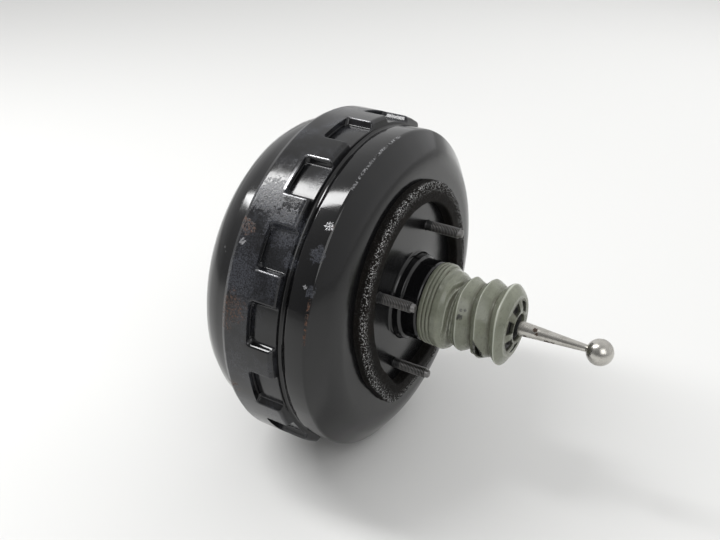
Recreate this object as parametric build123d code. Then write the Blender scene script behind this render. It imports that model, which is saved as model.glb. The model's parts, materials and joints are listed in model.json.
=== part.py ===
from build123d import *
import math
import os

# Vacuum brake booster, in millimetres. X runs along the booster's axis and points rearward, to the
# pedal. The origin is the middle of the face that bolts to the bulkhead, and +Z is up as it lies.

# Bulkhead studs, their plate and the gasket
stud_size = 8.0
stud_chamfer = 1.0
stud_shoulder = 0.5
stud_square = 78.0
stud_reach = 30.0
stud_angle = 65.0
stud_head_radius = 7.5
stud_head_height = 3.0
plate_thickness = 3.0
plate_margin = 13.0
gasket_width = 16.0
gasket_height = 8.0
gasket_body_radius = 80.0
gasket_top_radius = 79.5
gasket_top_rise = 15.0
gasket_lobe_radius = 31.0

# Rear shell
shell_wall = 1.6
band_radius = 132.6
face_step = 6.6
face_drop = 14.0
pad_step = 20.0
pad_bend = 30.0
face_bend = 3.2
shoulder_length = 18.0
groove_depth = 1.7
groove_width = 3.2
ramp_length = 2.0
band_length = 42.0
band_bend = 2.2
skirt_lip = 3.0
fold_bend = 0.6

# Locking windows round the band
window_count = 15
window_angle = 15.0
window_start_angle = 89.1
window_depth = 5.0
window_length = 20.0

# Neck
neck_radius = 31.2
neck_length = 21.6
neck_collar = 2.2
neck_collar_length = 6.5
neck_bend = 1.5
spigot_step = 2.0
spigot_length = 7.0
neck_keeper_wall = 1.0
bearing_length = 10.0

# Front shell, its studs and its plate
rim_wall = 1.8
rim_length = 15.0
rim_step = 6.0
rim_bend = 2.5
bowl_depth = 118.0
bowl_bend_share = 0.7127
boss_radius = 52.0
boss_rise = 6.0
pilot_radius = 21.5
pilot_length = 12.0
front_stud_spacing = 80.0
front_stud_reach = 25.0
front_stud_angle = 65.0

# Check valve in the front shell
valve_circle = 80.0
valve_angle = 20.0
valve_margin = 5.9
grommet_radius = 9.0
grommet_lip = 2.5
valve_stem_radius = 6.5
valve_stem_length = 12.0
valve_bore_radius = 4.8
valve_bore_length = 9.0
valve_head_radius = 11.5
valve_head_thickness = 3.0
nozzle_radius = 4.6
nozzle_bore_radius = 2.6
nozzle_length = 24.0
barb_height = 0.9
barb_pitch = 6.0
check_disc_radius = 4.0
check_disc_thickness = 1.5
check_travel = 1.5
check_keeper_thickness = 1.2

# Diaphragm, its plate and the return spring
plate_wall = 1.6
plate_step = 11.4
plate_flat_radius = 62.0
plate_dish = 8.0
plate_bend = 4.0
plate_rim = 8.0
diaphragm_wall = 1.8
diaphragm_bead = 6.4
lobe_gap = 3.0
lobe_bend = 4.0
return_wire = 1.8
return_radius = 29.5
return_turns = 7

# Power piston
piston_travel = 32.0
tail_radius = 17.5
tail_wall = 3.0
hub_radius = 21.8
hub_length = 26.0
flange_radius = 29.0
flange_thickness = 6.0
flange_stand_off = 7.0
disc_radius = 14.0
disc_height = 8.0
rod_head_height = 4.0
output_rod_radius = 5.5
output_rod_stand_off = 4.0
keeper_thickness = 1.6
keeper_teeth = 12

# Plunger, poppet and stop key
plunger_radius = 6.2
plunger_seat_radius = 9.0
plunger_seat_thickness = 4.0
plunger_travel = 2.5
key_thickness = 2.0
key_width = 14.0
key_leg = 6.0
key_groove_depth = 1.8
poppet_bore = 6.8
poppet_thickness = 3.0
poppet_wall = 1.8
poppet_radius = 12.6
poppet_sleeve_length = 14.0
poppet_keeper_length = 4.0
poppet_spring_wire = 0.5
poppet_spring_turns = 4

# Input rod, its spring and the filters
ball_radius = 9.7
ball_reach = 150.0
rod_radius = 5.6
rod_tip_radius = 2.7
rod_straight_length = 5.0
rod_shank_radius = 4.6
rod_head_radius = 4.2
rod_neck_radius = 2.6
rod_neck_length = 7.0
rod_tilt_angle = 2.0
washer_radius = 10.4
washer_thickness = 1.6
washer_stand_off = 4.0
rod_spring_wire = 0.8
rod_spring_turns = 6
filter_length = 20.0
silencer_length = 6.0

# Boot
boot_wall = 1.7
boot_length = 65.4
boot_wrinkle = 0.8
boot_band_radius = 32.0
boot_waist_radius = 28.6
boot_ridge_radii = [27.8, 29.8, 30.9]
boot_valley_radii = [22.8, 23.6, 25.2]
boot_ridge_pitch = 15.6
boot_ridge_rise = 6.2
boot_ridge_bend = 1.9
boot_valley_bend = 1.2
boot_end_radius = 24.0
boot_end_slope = 4.5
vent_count = 7
vent_width = 8.0
vent_angle = 13.5
vent_start = 13.0
vent_end = 20.5

# Clearances and the least bend of a wall's inner side
press_gap = 0.05
running_gap = 0.08
seat_gap = 0.1
free_gap = 0.3
tight_bend = 0.1

# Radii and places that follow from the sizes above, from the bulkhead forward and then rearward
stud_radius = stud_size / 2
shoulder_radius = stud_radius + stud_shoulder
stud_circle = stud_square * math.sqrt(2)
square_angle = stud_angle - 45
spigot_radius = neck_radius - spigot_step
spigot_x = neck_length + spigot_length
collar_bore = neck_radius + neck_collar - shell_wall
face_radius = band_radius - face_step
pad_radius = face_radius - pad_step
corner_x = -face_drop
groove_x = corner_x - shoulder_length
groove_radius = face_radius - groove_depth
band_x = groove_x - groove_width - ramp_length
skirt_x = band_x - band_length
slit_x = band_x - window_length
floor_radius = band_radius - window_depth
rim_x = slit_x - seat_gap
rim_radius = band_radius - shell_wall - seat_gap
bowl_radius = rim_radius - rim_step
bowl_bend = bowl_bend_share * (bowl_radius - valve_circle)
bowl_end_radius = valve_circle + valve_margin + bowl_bend
lobe_radius = face_radius - shell_wall - lobe_gap
plate_radius = lobe_radius - plate_step
front_x = -bowl_depth
boss_x = front_x - boss_rise
plate_x = -shell_wall - plate_thickness
flange_x = plate_x - stud_head_height - flange_stand_off
flange_back_x = flange_x + flange_thickness
hub_x = flange_x - hub_length
plate_back_x = flange_x - diaphragm_wall - 2 * seat_gap
disc_back_x = hub_x + disc_height + rod_head_height + 2 * seat_gap
pivot_x = flange_back_x + plunger_seat_thickness + 4.0
chamber_x = pivot_x - 1.0
plunger_x = disc_back_x + plunger_travel + free_gap
plunger_back_x = chamber_x + plunger_travel + plunger_seat_thickness + 1.0
poppet_keeper_x = plunger_back_x + poppet_sleeve_length
boot_end_x = neck_length + boot_length
tail_x = boot_end_x - boot_wall - seat_gap
tail_bore = tail_radius - tail_wall
filter_x = tail_x - filter_length
silencer_x = filter_x - silencer_length - seat_gap
washer_x = silencer_x - washer_stand_off - washer_thickness
tilt_room = (boot_end_x - pivot_x) * math.sin(math.radians(rod_tilt_angle)) + free_gap
mouth_radius = rod_radius + tilt_room


def turned(points, arc=360.0):
    """Solid turned about the axis from a closed outline of (x, radius) points."""
    return revolve(make_face(Polyline(*points, close=True)), Axis.X, arc)


def ring(start, end, inner, outer):
    """Plain ring from one place on the axis to another."""
    return turned([(start, inner), (end, inner), (end, outer), (start, outer)])


def bar(start, end, radius):
    """Plain round bar on the axis."""
    return turned([(start, 0), (end, 0), (end, radius), (start, radius)])


def left_of(step):
    """Unit vector to the left of a step of a line."""
    return Vector(-step.Y, step.X).normalized()


def moved_line(points, amount):
    """The corners of a line moved to its left, with every straight run kept parallel."""
    corners = [Vector(*point) for point in points]
    steps = [after - before for before, after in zip(corners, corners[1:])]
    moved = [corners[0] + left_of(steps[0]) * amount]
    for corner, before, after in zip(corners[1:], steps, steps[1:]):
        middle = (left_of(before) + left_of(after)).normalized()
        moved.append(corner + middle * (amount / middle.dot(left_of(before))))
    moved.append(corners[-1] + left_of(steps[-1]) * amount)
    return [(corner.X, corner.Y) for corner in moved]


def moved_bends(points, bends, amount):
    """The bends of a line moved to its left: tighter where it turns left, and wider elsewhere."""
    corners = [Vector(*point) for point in points]
    steps = [after - before for before, after in zip(corners, corners[1:])]
    moved = []
    for before, after, bend in zip(steps, steps[1:], bends):
        turns_left = before.cross(after).Z > 0
        moved.append(max(bend - amount, tight_bend) if turns_left else bend + amount)
    return moved


def section(outer_points, outer_bends, inner_points, inner_bends):
    """Closed outline between two bent lines that start and end beside each other."""
    outer = FilletPolyline(*outer_points, radius=outer_bends)
    inner = FilletPolyline(*inner_points, radius=inner_bends)
    start = Line(outer_points[0], inner_points[0])
    end = Line(outer_points[-1], inner_points[-1])
    return make_face(outer.edges() + inner.edges() + start.edges() + end.edges())


def sheet(points, bends, wall, arc=360.0):
    """Bent sheet, turned about the axis: the line is its outer side and the wall lies to its left."""
    outline = section(points, bends, moved_line(points, wall), moved_bends(points, bends, wall))
    return revolve(outline, Axis.X, arc)


def around(shape, angle, radius=0.0):
    """The shape moved out from the axis and turned to an angle measured from +Y towards +Z."""
    return Rot(X=angle) * Pos(0, radius, 0) * shape


def together(shapes):
    """Several solids kept apart in one sub-part."""
    return Compound(children=list(shapes))


def coil(start, end, radius, wire, turns):
    """Closed-end spring whose wire touches the planes at its start and end."""
    height = end - start - 2 * wire
    path = Helix(height / turns, height, radius)
    section = Plane(origin=path @ 0, z_dir=path % 0) * Circle(wire)
    return Pos(X=start + wire) * Rot(Y=90) * sweep(section, path, is_frenet=True)


def stud_angles():
    """The four corners of the bulkhead square."""
    return [stud_angle + 90 * corner for corner in range(4)]


def front_stud_angles():
    """The two sides of the boss where the master cylinder's studs stand."""
    return [front_stud_angle, front_stud_angle + 180]


def rear_face():
    """Neck, pad and shoulder of the rear shell, up to the middle of the groove behind the band."""
    line = [
        (spigot_x, spigot_radius),
        (neck_length, spigot_radius),
        (neck_length - spigot_step, neck_radius),
        (neck_collar_length + neck_collar, neck_radius),
        (neck_collar_length, neck_radius + neck_collar),
        (0, neck_radius + neck_collar),
        (0, pad_radius),
        (corner_x, face_radius),
        (groove_x + groove_depth, face_radius),
        (groove_x, groove_radius),
        (groove_x - groove_width / 2, groove_radius),
    ]
    bends = [fold_bend, fold_bend, fold_bend, fold_bend, neck_bend, pad_bend, face_bend, fold_bend, fold_bend]
    face = sheet(line, bends, shell_wall)
    hole = bar(plate_x, 1, shoulder_radius + press_gap)
    return face.cut(*[around(hole, turn, stud_circle / 2) for turn in stud_angles()])


def band_rise(top_radius):
    """Line of the band from the middle of the groove up to a radius and on to the slits."""
    foot_x = groove_x - groove_width
    foot = [(groove_x - groove_width / 2, groove_radius), (foot_x, groove_radius)]
    return foot + [(band_x, top_radius), (slit_x, top_radius)]


def band_bay():
    """One pitch of the band: a sunk window floor, a side wall at each end, and a raised land."""
    bends = [fold_bend, band_bend]
    land_line = band_rise(band_radius)
    floor_line = band_rise(floor_radius)
    floor_inner = moved_line(floor_line, shell_wall)
    side_angle = math.degrees(shell_wall / band_radius)
    floor = sheet(floor_line, bends, shell_wall, window_angle - 2 * side_angle)
    land = sheet(land_line, bends, shell_wall, 360.0 / window_count - window_angle)
    side = revolve(
        section(land_line, bends, floor_inner, moved_bends(floor_line, bends, shell_wall)), Axis.X, side_angle
    )
    far_side = around(side, window_angle - side_angle)
    return side.fuse(around(floor, side_angle), far_side, around(land, window_angle))


def rear_shell():
    """Rear shell with its neck, and a band with locking windows pressed in between raised lands."""
    skirt_line = [
        (slit_x, band_radius),
        (skirt_x + skirt_lip, band_radius),
        (skirt_x, band_radius - skirt_lip / 2),
    ]
    skirt = sheet(skirt_line, [band_bend], shell_wall)
    bay = band_bay()
    pitch = 360.0 / window_count
    bays = [around(bay, window_start_angle + pitch * number) for number in range(window_count)]
    return rear_face().fuse(skirt, *bays)


def bulkhead_plate():
    """Square plate with round corners that stiffens the rear shell behind the studs."""
    side = stud_square + 2 * plate_margin
    outline = RectangleRounded(side, side, plate_margin) - Circle(neck_radius + neck_collar)
    outline -= GridLocations(stud_square, stud_square, 2, 2) * Circle(shoulder_radius + press_gap)
    plate = extrude(Plane.YZ * outline, plate_thickness)
    return around(Pos(X=plate_x) * plate, square_angle)


def pressed_stud(length, grip):
    """Stud along +X: a flat head at the origin, a shoulder pressed through the sheets, and a tapered tip."""
    return turned(
        [
            (0, 0),
            (0, stud_head_radius),
            (stud_head_height, stud_head_radius),
            (stud_head_height, shoulder_radius),
            (stud_head_height + grip, shoulder_radius),
            (stud_head_height + grip, stud_radius),
            (length - stud_chamfer, stud_radius),
            (length, stud_radius - stud_chamfer),
            (length, 0),
        ]
    )


def bulkhead_studs():
    """The four studs that hold the booster to the bulkhead."""
    root = plate_x - stud_head_height
    stud = Pos(X=root) * pressed_stud(stud_reach - root, -plate_x)
    return together(around(stud, turn, stud_circle / 2) for turn in stud_angles())


def foam_gasket():
    """Foam ring on the bulkhead face: a round body, a fuller top and a lobe round each lower stud."""
    rounds = [Circle(gasket_body_radius), Pos(Y=gasket_top_rise) * Circle(gasket_top_radius)]
    for side in (-1, 1):
        rounds.append(Pos(side * stud_square / 2, -stud_square / 2) * Circle(gasket_lobe_radius))
    outline = make_hull([edge for shape in rounds for edge in shape.edges()])
    band = outline - offset(outline, amount=-gasket_width)
    return around(extrude(Plane.YZ * band, gasket_height), square_angle)


def neck_seal():
    """Rubber ring in the neck's collar that wipes the tail of the power piston."""
    outer = collar_bore - neck_keeper_wall - 2 * press_gap
    end = neck_collar_length - seat_gap
    groove_radius_inside = tail_radius + 2.0
    return turned(
        [
            (0, outer),
            (0, tail_radius + running_gap),
            (end / 3, tail_radius + running_gap),
            (end / 2, groove_radius_inside),
            (end, groove_radius_inside),
            (end, outer),
        ]
    )


def neck_bearing():
    """Plastic bush behind the seal that guides the tail."""
    start = neck_collar_length + neck_collar
    outer = neck_radius - shell_wall - press_gap
    return ring(start, start + bearing_length, tail_radius + running_gap, outer)


def neck_keeper():
    """Pressed cup in the neck's collar that holds the seal."""
    outer = collar_bore - press_gap
    front = -neck_keeper_wall - seat_gap
    line = [(neck_collar_length - shell_wall, outer), (front, outer), (front, tail_radius + free_gap)]
    return sheet(line, [neck_keeper_wall], neck_keeper_wall)


def front_shell():
    """Front shell: a rim inside the band, a deep bowl, and the boss with the pilot hole."""
    line = [
        (rim_x, rim_radius),
        (rim_x - rim_length, rim_radius),
        (rim_x - rim_length - rim_step / 2, bowl_radius),
        (front_x, bowl_end_radius),
        (front_x, boss_radius + boss_rise),
        (boss_x, boss_radius),
        (boss_x, pilot_radius),
        (boss_x + pilot_length, pilot_radius),
    ]
    shell = sheet(line, [rim_bend, rim_bend, bowl_bend, rim_bend, rim_bend, rim_bend], rim_wall)
    stud_hole = bar(boss_x - 1, boss_x + rim_wall + 1, shoulder_radius + press_gap)
    cuts = [around(stud_hole, turn, front_stud_spacing / 2) for turn in front_stud_angles()]
    cuts.append(around(bar(front_x - 1, front_x + rim_wall + 1, grommet_radius), valve_angle, valve_circle))
    return shell.cut(*cuts)


def front_plate():
    """Round plate that stiffens the boss behind the master cylinder's studs."""
    start = boss_x + rim_wall
    end = start + plate_thickness
    plate = ring(start, end, pilot_radius + rim_bend + free_gap, boss_radius - rim_bend)
    hole = bar(start - 1, end + 1, shoulder_radius + press_gap)
    return plate.cut(*[around(hole, turn, front_stud_spacing / 2) for turn in front_stud_angles()])


def front_studs():
    """The two studs that hold the master cylinder."""
    grip = rim_wall + plate_thickness
    root = boss_x + grip + stud_head_height
    stud = Pos(X=root) * Rot(Y=180) * pressed_stud(root - boss_x + front_stud_reach, grip)
    return together(around(stud, turn, front_stud_spacing / 2) for turn in front_stud_angles())


def valve_grommet():
    """Rubber grommet that seals the check valve in the front shell."""
    lip = grommet_radius + grommet_lip
    inside_x = front_x + rim_wall + seat_gap
    outline = [
        (front_x - seat_gap - grommet_lip, valve_stem_radius + press_gap),
        (inside_x + grommet_lip, valve_stem_radius + press_gap),
        (inside_x + grommet_lip, lip - 1),
        (inside_x, lip),
        (inside_x, grommet_radius - press_gap),
        (front_x - seat_gap, grommet_radius - press_gap),
        (front_x - seat_gap, lip),
        (front_x - seat_gap - grommet_lip, lip),
    ]
    return around(turned(outline), valve_angle, valve_circle)


def valve_places():
    """Back of the valve's head, front end of its bore and open end of its stem, along the axis."""
    head_back = front_x - 2 * seat_gap - grommet_lip
    bore_front = head_back - valve_head_thickness / 2
    return head_back, bore_front, bore_front + valve_bore_length


def check_valve():
    """Plastic check valve: a stem through the grommet, a head and a barbed hose nozzle."""
    head_back, bore_front, mouth = valve_places()
    head_front = head_back - valve_head_thickness
    tip = head_front - nozzle_length
    outline = [(mouth, valve_stem_radius), (head_back, valve_stem_radius), (head_back, valve_head_radius)]
    outline += [(head_front, valve_head_radius), (head_front, nozzle_radius)]
    for barb in (2, 1):
        back = tip + barb * barb_pitch
        outline += [(back, nozzle_radius), (back, nozzle_radius + barb_height)]
        outline.append((back - barb_pitch / 2, nozzle_radius))
    outline += [(tip, nozzle_radius), (tip, nozzle_bore_radius), (bore_front, nozzle_bore_radius)]
    outline += [(bore_front, valve_bore_radius), (mouth, valve_bore_radius)]
    return around(turned(outline), valve_angle, valve_circle)


def check_keeper():
    """Perforated washer that closes the inner end of the check valve and is the disc's seat."""
    mouth = valve_places()[2]
    keeper = ring(mouth - check_keeper_thickness, mouth, check_disc_radius / 2, valve_bore_radius - press_gap)
    return around(keeper, valve_angle, valve_circle)


def check_disc():
    """Rubber disc that lifts forward off its seat when the engine draws air."""
    back = valve_places()[2] - check_keeper_thickness - seat_gap
    disc = bar(back - check_disc_thickness, back, check_disc_radius)
    return around(disc, valve_angle, valve_circle)


def check_spring():
    """Light spring that shuts the check disc."""
    bore_front, mouth = valve_places()[1:]
    back = mouth - check_keeper_thickness - check_disc_thickness - 2 * seat_gap
    spring = coil(bore_front + press_gap, back, valve_bore_radius - 1.2, 0.3, 3)
    return around(spring, valve_angle, valve_circle)


def plate_line():
    """Rear side of the diaphragm plate, from the hub outward."""
    rise = 1.5 * plate_dish
    return [
        (plate_back_x, hub_radius + seat_gap),
        (plate_back_x, plate_flat_radius),
        (plate_back_x + plate_dish, plate_flat_radius + rise),
        (plate_back_x + plate_dish, plate_radius),
        (plate_back_x + plate_dish - plate_rim, plate_radius + plate_rim / 2),
    ]


def diaphragm_plate():
    """Dished plate that carries the diaphragm, with its rim bent forward."""
    return sheet(plate_line(), [plate_bend] * 3, plate_wall)


def diaphragm():
    """Rolling diaphragm: it lies on the plate, runs along the shell and ends in a thick bead."""
    line = moved_line(plate_line(), -diaphragm_wall - seat_gap)
    bead_x = slit_x - seat_gap
    line = line[:4] + [(corner_x - plate_bend, lobe_radius), (bead_x - diaphragm_bead / 2, lobe_radius)]
    membrane = sheet(line, [plate_bend, plate_bend, plate_bend, lobe_bend], diaphragm_wall)
    bead_outer = rim_radius - rim_wall - seat_gap
    bead_front = rim_x - rim_length + rim_wall + seat_gap
    bead = ring(bead_front, bead_x - seat_gap, lobe_radius - diaphragm_wall, bead_outer)
    return membrane.fuse(bead)


def return_spring():
    """Main spring between the front plate and the diaphragm plate."""
    start = boss_x + rim_wall + plate_thickness + seat_gap
    return coil(start, plate_back_x - plate_wall - seat_gap, return_radius, return_wire, return_turns)


def valve_body():
    """Power piston: hub with the reaction disc's bore, flange, and a tail that carries the valve."""
    outline = [
        (hub_x, disc_radius + seat_gap),
        (disc_back_x, disc_radius + seat_gap),
        (disc_back_x, plunger_radius + running_gap),
        (chamber_x, plunger_radius + running_gap),
        (chamber_x, tail_bore),
        (tail_x, tail_bore),
        (tail_x, tail_radius),
        (flange_back_x, tail_radius),
        (flange_back_x, flange_radius),
        (flange_x, flange_radius),
        (flange_x, hub_radius),
        (hub_x, hub_radius),
    ]
    body = turned(outline)
    room = 2 * seat_gap
    slot = key_plate(key_thickness + room, key_width + room, key_leg + seat_gap, flange_radius + 1)
    return body - slot


def key_place():
    """Middle of the stop key along the axis, in the middle of the flange."""
    return flange_x + flange_thickness / 2


def key_plate(thickness, width, leg, height):
    """Upright plate across the axis at the stop key's place."""
    middle = Pos(X=key_place(), Z=(height - leg) / 2)
    return middle * Box(thickness, width, height + leg)


def stop_key():
    """Flat fork over the plunger's groove that limits how far plunger and piston come back."""
    throat = plunger_radius - key_groove_depth + free_gap
    plate = key_plate(key_thickness, key_width, key_leg, flange_radius)
    round_end = Pos(X=key_place()) * Cylinder(throat, 2 * key_thickness, rotation=(0, 90, 0))
    mouth = key_plate(2 * key_thickness, 2 * throat, 2 * key_leg, 0)
    return plate - round_end - mouth


def plunger():
    """Valve plunger: a socket for the input rod's head, a groove for the key, and the air seat."""
    groove_front = key_place() - key_thickness / 2 - free_gap
    groove_back = key_place() + key_thickness / 2 + plunger_travel + free_gap
    waist = plunger_radius - key_groove_depth
    mouth = rod_neck_radius + 1.0
    outline = [
        (plunger_x, 0),
        (plunger_x, plunger_radius),
        (groove_front, plunger_radius),
        (groove_front, waist),
        (groove_back, waist),
        (groove_back, plunger_radius),
        (plunger_back_x - plunger_seat_thickness, plunger_radius),
        (plunger_back_x - plunger_seat_thickness, plunger_seat_radius),
        (plunger_back_x, plunger_seat_radius),
        (plunger_back_x, mouth),
        (pivot_x, mouth),
        (pivot_x, 0),
    ]
    socket = Pos(X=pivot_x) * Sphere(rod_head_radius + press_gap)
    return turned(outline) - socket


def poppet():
    """Rubber valve ring on a thin sleeve that is held at its rear end."""
    start = plunger_back_x + seat_gap
    return turned(
        [
            (start, poppet_bore),
            (start, poppet_radius),
            (poppet_keeper_x, poppet_radius),
            (poppet_keeper_x, poppet_radius - poppet_wall),
            (start + poppet_thickness, poppet_radius - poppet_wall),
            (start + poppet_thickness, poppet_bore),
        ]
    )


def poppet_keeper():
    """Ring pressed into the tail that holds the poppet and both small springs."""
    start = poppet_keeper_x + seat_gap
    end = start + poppet_keeper_length
    return ring(start, end, rod_shank_radius + tilt_room, tail_bore - press_gap)


def poppet_spring():
    """Small spring that pushes the poppet onto its seats."""
    start = plunger_back_x + poppet_thickness + 2 * seat_gap
    radius = poppet_radius - poppet_wall - poppet_spring_wire - free_gap
    return coil(start, poppet_keeper_x, radius, poppet_spring_wire, poppet_spring_turns)


def rod_spring():
    """Spring that brings the input rod back."""
    start = poppet_keeper_x + poppet_keeper_length + 2 * seat_gap
    radius = washer_radius - rod_spring_wire
    return coil(start, washer_x - seat_gap, radius, rod_spring_wire, rod_spring_turns)


def rod_washer():
    """Washer on the input rod that the rod spring pushes against."""
    return ring(washer_x, washer_x + washer_thickness, rod_shank_radius + press_gap, washer_radius)


def silencer():
    """Felt ring in front of the air filter."""
    return ring(silencer_x, silencer_x + silencer_length, mouth_radius, tail_bore - press_gap)


def air_filter():
    """Foam ring that fills the end of the tail round the input rod."""
    return ring(filter_x, tail_x, mouth_radius, tail_bore - press_gap)


def input_rod():
    """Push rod: a round head in the plunger, a shoulder for the washer, and a long taper to the ball."""
    shoulder_x = washer_x + washer_thickness + press_gap
    shank_x = pivot_x + rod_neck_length
    taper_x = boot_end_x + rod_straight_length
    shaft = turned(
        [
            (pivot_x, 0),
            (pivot_x, rod_neck_radius),
            (shank_x, rod_neck_radius),
            (shank_x + rod_shank_radius - rod_neck_radius, rod_shank_radius),
            (shoulder_x, rod_shank_radius),
            (shoulder_x, rod_radius),
            (taper_x, rod_radius),
            (ball_reach - ball_radius + 1, rod_tip_radius),
            (ball_reach, rod_tip_radius),
            (ball_reach, 0),
        ]
    )
    head = Pos(X=pivot_x) * Sphere(rod_head_radius)
    ball = Pos(X=ball_reach) * Sphere(ball_radius)
    return shaft.fuse(head, ball)


def reaction_disc():
    """Rubber disc between the power piston and the output rod."""
    back = disc_back_x - seat_gap / 2
    return bar(back - disc_height, back, disc_radius)


def output_rod():
    """Rod that pushes the master cylinder, with a broad head on the reaction disc."""
    head_back = disc_back_x - disc_height - seat_gap
    head_front = head_back - rod_head_height
    tip = boss_x + pilot_length + output_rod_stand_off
    shaft = turned(
        [
            (head_back, 0),
            (head_back, disc_radius),
            (head_front, disc_radius),
            (head_front, output_rod_radius),
            (tip + output_rod_radius, output_rod_radius),
            (tip + output_rod_radius, 0),
        ]
    )
    return shaft.fuse(Pos(X=tip + output_rod_radius) * Sphere(output_rod_radius))


def rod_keeper():
    """Toothed spring washer on the hub that keeps the output rod's head in."""
    back = hub_x - seat_gap
    washer = ring(back - keeper_thickness, back, output_rod_radius + free_gap, hub_radius)
    notch = Pos(Y=hub_radius) * Box(4 * keeper_thickness, keeper_thickness, disc_radius)
    notch = Pos(X=back) * notch
    step = 360.0 / keeper_teeth
    return washer.cut(*[around(notch, step * number) for number in range(keeper_teeth)])


def boot_line():
    """Outer line of the boot from the mouth round the rod forward to the end on the neck."""
    line = [(boot_end_x, mouth_radius), (boot_end_x, boot_end_radius)]
    bends = [boot_ridge_bend]
    ridge_x = boot_end_x - boot_end_slope
    for ridge_radius, valley_radius in zip(reversed(boot_ridge_radii), reversed(boot_valley_radii)):
        line += [(ridge_x, ridge_radius), (ridge_x - boot_ridge_rise, valley_radius)]
        bends += [boot_ridge_bend, boot_valley_bend]
        ridge_x -= boot_ridge_pitch
    band_x_start = neck_length + boot_ridge_pitch / 2
    line.append((ridge_x + boot_ridge_rise / 2, boot_waist_radius))
    line.append((band_x_start + boot_wrinkle * 4, boot_waist_radius))
    bends += [boot_ridge_bend, boot_valley_bend]
    line += [(band_x_start, boot_band_radius), (band_x_start - boot_wrinkle * 4, boot_band_radius)]
    bends += [boot_ridge_bend, boot_ridge_bend]
    line += [(neck_length + boot_wrinkle * 3, neck_radius), (neck_length + press_gap, neck_radius)]
    bends += [boot_valley_bend]
    return line, bends


def boot():
    """Rubber bellows from the neck to the mouth round the input rod, with air slots in its end."""
    line, bends = boot_line()
    bellows = sheet(line, bends, boot_wall)
    slot = Box(4 * boot_wall, vent_width, vent_end - vent_start)
    slot = Pos(X=boot_end_x, Z=(vent_start + vent_end) / 2) * slot
    step = 360.0 / vent_count
    return bellows.cut(*[Rot(X=vent_angle + step * number) * slot for number in range(vent_count)])


parts = {
    "rear_shell": rear_shell,
    "bulkhead_plate": bulkhead_plate,
    "bulkhead_studs": bulkhead_studs,
    "foam_gasket": foam_gasket,
    "neck_seal": neck_seal,
    "neck_bearing": neck_bearing,
    "neck_keeper": neck_keeper,
    "front_shell": front_shell,
    "front_plate": front_plate,
    "front_studs": front_studs,
    "valve_grommet": valve_grommet,
    "check_valve": check_valve,
    "check_keeper": check_keeper,
    "check_disc": check_disc,
    "check_spring": check_spring,
    "diaphragm": diaphragm,
    "diaphragm_plate": diaphragm_plate,
    "return_spring": return_spring,
    "valve_body": valve_body,
    "stop_key": stop_key,
    "plunger": plunger,
    "poppet": poppet,
    "poppet_keeper": poppet_keeper,
    "poppet_spring": poppet_spring,
    "rod_spring": rod_spring,
    "rod_washer": rod_washer,
    "silencer": silencer,
    "air_filter": air_filter,
    "input_rod": input_rod,
    "reaction_disc": reaction_disc,
    "output_rod": output_rod,
    "rod_keeper": rod_keeper,
    "boot": boot,
}

os.makedirs("parts", exist_ok=True)
for name, make in parts.items():
    export_step(make(), f"parts/{name}.step")
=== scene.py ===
import json
import math

import bmesh
import bpy
from bpy.props import FloatProperty, FloatVectorProperty, PointerProperty
from mathutils import Matrix, Vector, noise


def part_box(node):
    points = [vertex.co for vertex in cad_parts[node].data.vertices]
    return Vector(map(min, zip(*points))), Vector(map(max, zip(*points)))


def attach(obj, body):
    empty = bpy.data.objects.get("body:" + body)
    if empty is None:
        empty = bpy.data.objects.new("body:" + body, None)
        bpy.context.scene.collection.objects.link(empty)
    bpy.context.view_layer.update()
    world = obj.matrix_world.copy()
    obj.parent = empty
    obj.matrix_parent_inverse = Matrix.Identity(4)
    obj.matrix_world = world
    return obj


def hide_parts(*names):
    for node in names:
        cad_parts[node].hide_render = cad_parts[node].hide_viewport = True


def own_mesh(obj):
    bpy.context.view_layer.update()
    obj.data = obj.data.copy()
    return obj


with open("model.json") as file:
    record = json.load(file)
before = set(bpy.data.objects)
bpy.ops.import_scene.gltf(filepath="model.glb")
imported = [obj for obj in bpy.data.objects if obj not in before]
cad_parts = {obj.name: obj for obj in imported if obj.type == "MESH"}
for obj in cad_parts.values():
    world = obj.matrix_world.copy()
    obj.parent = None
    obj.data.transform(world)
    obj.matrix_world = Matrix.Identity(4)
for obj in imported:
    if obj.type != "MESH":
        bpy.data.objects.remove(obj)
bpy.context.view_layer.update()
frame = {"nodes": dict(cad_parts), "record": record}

bl_info = {
    "name": "Vacuum brake booster",
    "version": (1, 0, 0),
    "blender": (4, 5, 0),
    "location": "3D View > Sidebar > Booster",
    "description": "Dresses the booster's frame with pressed shells, studs, gasket, bellows and push rod",
    "category": "Object",
}

MM = 0.001
SHELL_WALL = 1.6
RIM_WALL = 1.8
WINDOW_COUNT = 15
WINDOW_START = 89.1
WINDOW_ANGLE = 15.0
FIRST_STUD = 65.0
STUD_CIRCLE = 55.154
VALVE_ANGLE = 20.0
VALVE_CIRCLE = 80.0
GROMMET_RADIUS = 9.0
NECK_END = 21.65


def length(title, about, size):
    """A length in metres that the sidebar shows in the scene's unit."""
    return FloatProperty(name=title, description=about, default=size * MM, unit="LENGTH", precision=5)


def colour(title, about, red, green, blue):
    """A plain colour without transparency."""
    return FloatVectorProperty(
        name=title, description=about, default=(red, green, blue), size=3, subtype="COLOR", min=0.0, max=1.0
    )


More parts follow.
